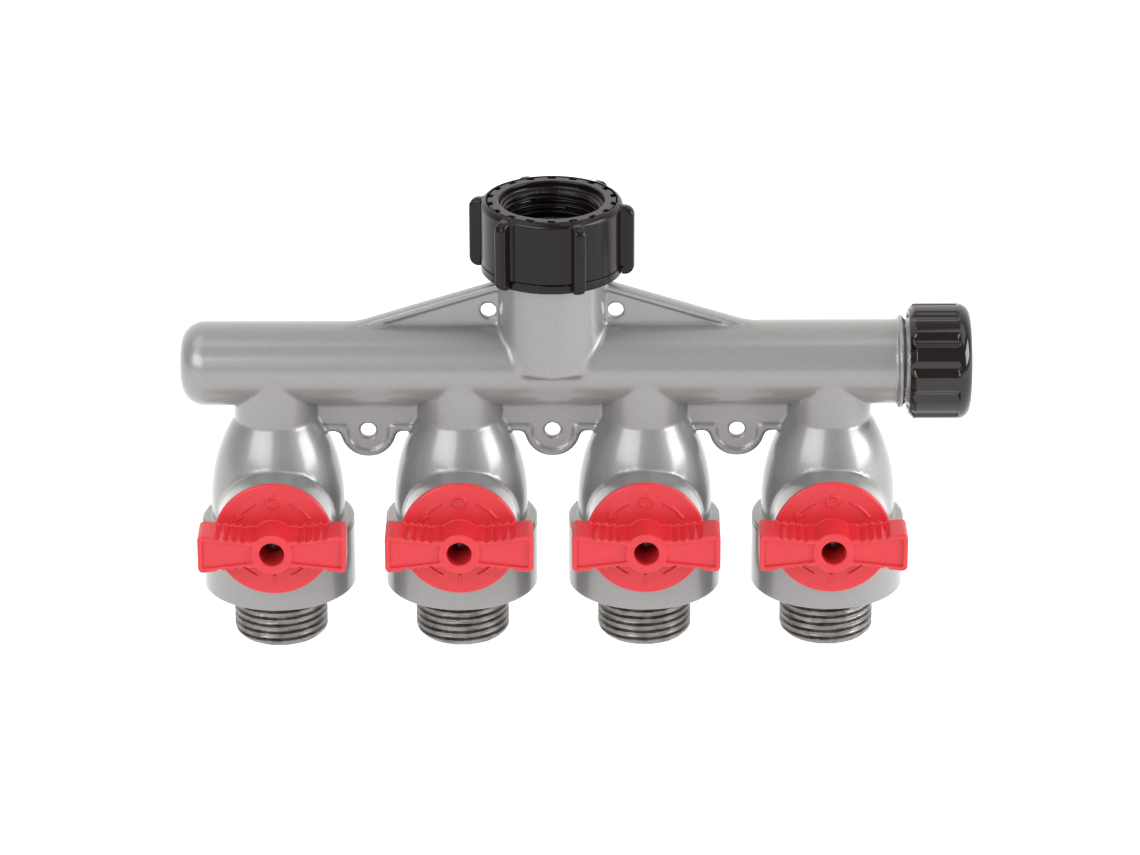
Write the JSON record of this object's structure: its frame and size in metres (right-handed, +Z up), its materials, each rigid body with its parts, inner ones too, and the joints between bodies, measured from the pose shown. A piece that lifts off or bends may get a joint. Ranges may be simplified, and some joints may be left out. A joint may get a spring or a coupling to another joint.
{
  "type": "hose splitter",
  "caption": "Four-way garden hose splitter: cast manifold with swivel inlet nut, quarter-turn ball valves with red levers, threaded outlets and a screwed end cap.",
  "frame": {"origin": "middle of the bounding box in X and Y, on the plane of the four outlet ends", "axes": "+X along the main tube from its closed end to the end cap, +Y from the handles to the back, +Z up through the inlet"},
  "size_m": [0.2246, 0.0598, 0.1332],
  "materials": {
    "silver_paint": "satin silver paint with a fine metallic fleck on a die casting",
    "turned_metal": "bare turned metal with fine machining lines",
    "red_plastic": "semi-gloss moulded red",
    "black_plastic": "satin moulded black",
    "black_gloss": "glossy moulded black",
    "rubber": "matt black rubber",
    "seat_plastic": "white low-friction plastic",
    "chrome": "polished plated ball",
    "brass": "turned brass",
    "steel": "bright zinc-plated steel"
  },
  "bodies": {
    "manifold": {"manifold_body": "silver_paint", "nut_retaining_ring": "steel", "outlet_nipple_1": "turned_metal", "nipple_seal_1": "rubber", "ball_seat_upper_1": "seat_plastic", "ball_seat_lower_1": "seat_plastic", "outlet_nipple_2": "turned_metal", "nipple_seal_2": "rubber", "ball_seat_upper_2": "seat_plastic", "ball_seat_lower_2": "seat_plastic", "outlet_nipple_3": "turned_metal", "nipple_seal_3": "rubber", "ball_seat_upper_3": "seat_plastic", "ball_seat_lower_3": "seat_plastic", "outlet_nipple_4": "turned_metal", "nipple_seal_4": "rubber", "ball_seat_upper_4": "seat_plastic", "ball_seat_lower_4": "seat_plastic"},
    "inlet_nut": {"inlet_nut_thread_ring": "black_plastic", "inlet_nut_grip": "black_plastic", "inlet_washer": "rubber"},
    "cap_travel": {"end_cap_washer": "rubber"},
    "end_cap": {"end_cap": "black_gloss"},
    "valve_1": {"handle_1": "red_plastic", "handle_screw_1": "steel", "stem_1": "brass", "stem_oring_1": "rubber", "ball_1": "chrome"},
    "valve_2": {"handle_2": "red_plastic", "handle_screw_2": "steel", "stem_2": "brass", "stem_oring_2": "rubber", "ball_2": "chrome"},
    "valve_3": {"handle_3": "red_plastic", "handle_screw_3": "steel", "stem_3": "brass", "stem_oring_3": "rubber", "ball_3": "chrome"},
    "valve_4": {"handle_4": "red_plastic", "handle_screw_4": "steel", "stem_4": "brass", "stem_oring_4": "rubber", "ball_4": "chrome"}
  },
  "joints": [
    {"name": "inlet_nut_swivel", "type": "hinge", "parent": "manifold", "child": "inlet_nut", "pos_m": [-0.0065, 0.00749, 0.1228], "axis": [0, 0, 1], "continuous": true},
    {"name": "handle_1_turn", "type": "hinge", "parent": "manifold", "child": "valve_1", "pos_m": [-0.0857, 0.00749, 0.0404], "axis": [0, -1, 0], "range_deg": [0, 90]},
    {"name": "handle_2_turn", "type": "hinge", "parent": "manifold", "child": "valve_2", "pos_m": [-0.0329, 0.00749, 0.0404], "axis": [0, -1, 0], "range_deg": [0, 90]},
    {"name": "handle_3_turn", "type": "hinge", "parent": "manifold", "child": "valve_3", "pos_m": [0.0199, 0.00749, 0.0404], "axis": [0, -1, 0], "range_deg": [0, 90]},
    {"name": "handle_4_turn", "type": "hinge", "parent": "manifold", "child": "valve_4", "pos_m": [0.0727, 0.00749, 0.0404], "axis": [0, -1, 0], "range_deg": [0, 90]},
    {"name": "end_cap_travel", "type": "slide", "parent": "manifold", "child": "cap_travel", "axis": [1, 0, 0], "range_m": [0, 0.01546]},
    {"name": "end_cap_unscrew", "type": "hinge", "parent": "cap_travel", "child": "end_cap", "pos_m": [0.1025, 0.00749, 0.0835], "axis": [1, 0, 0], "range_deg": [0, 2520]}
  ],
  "couplings": [
    {"joint": "end_cap_unscrew", "follows": "end_cap_travel", "rad_per_m": 2844.7}
  ]
}
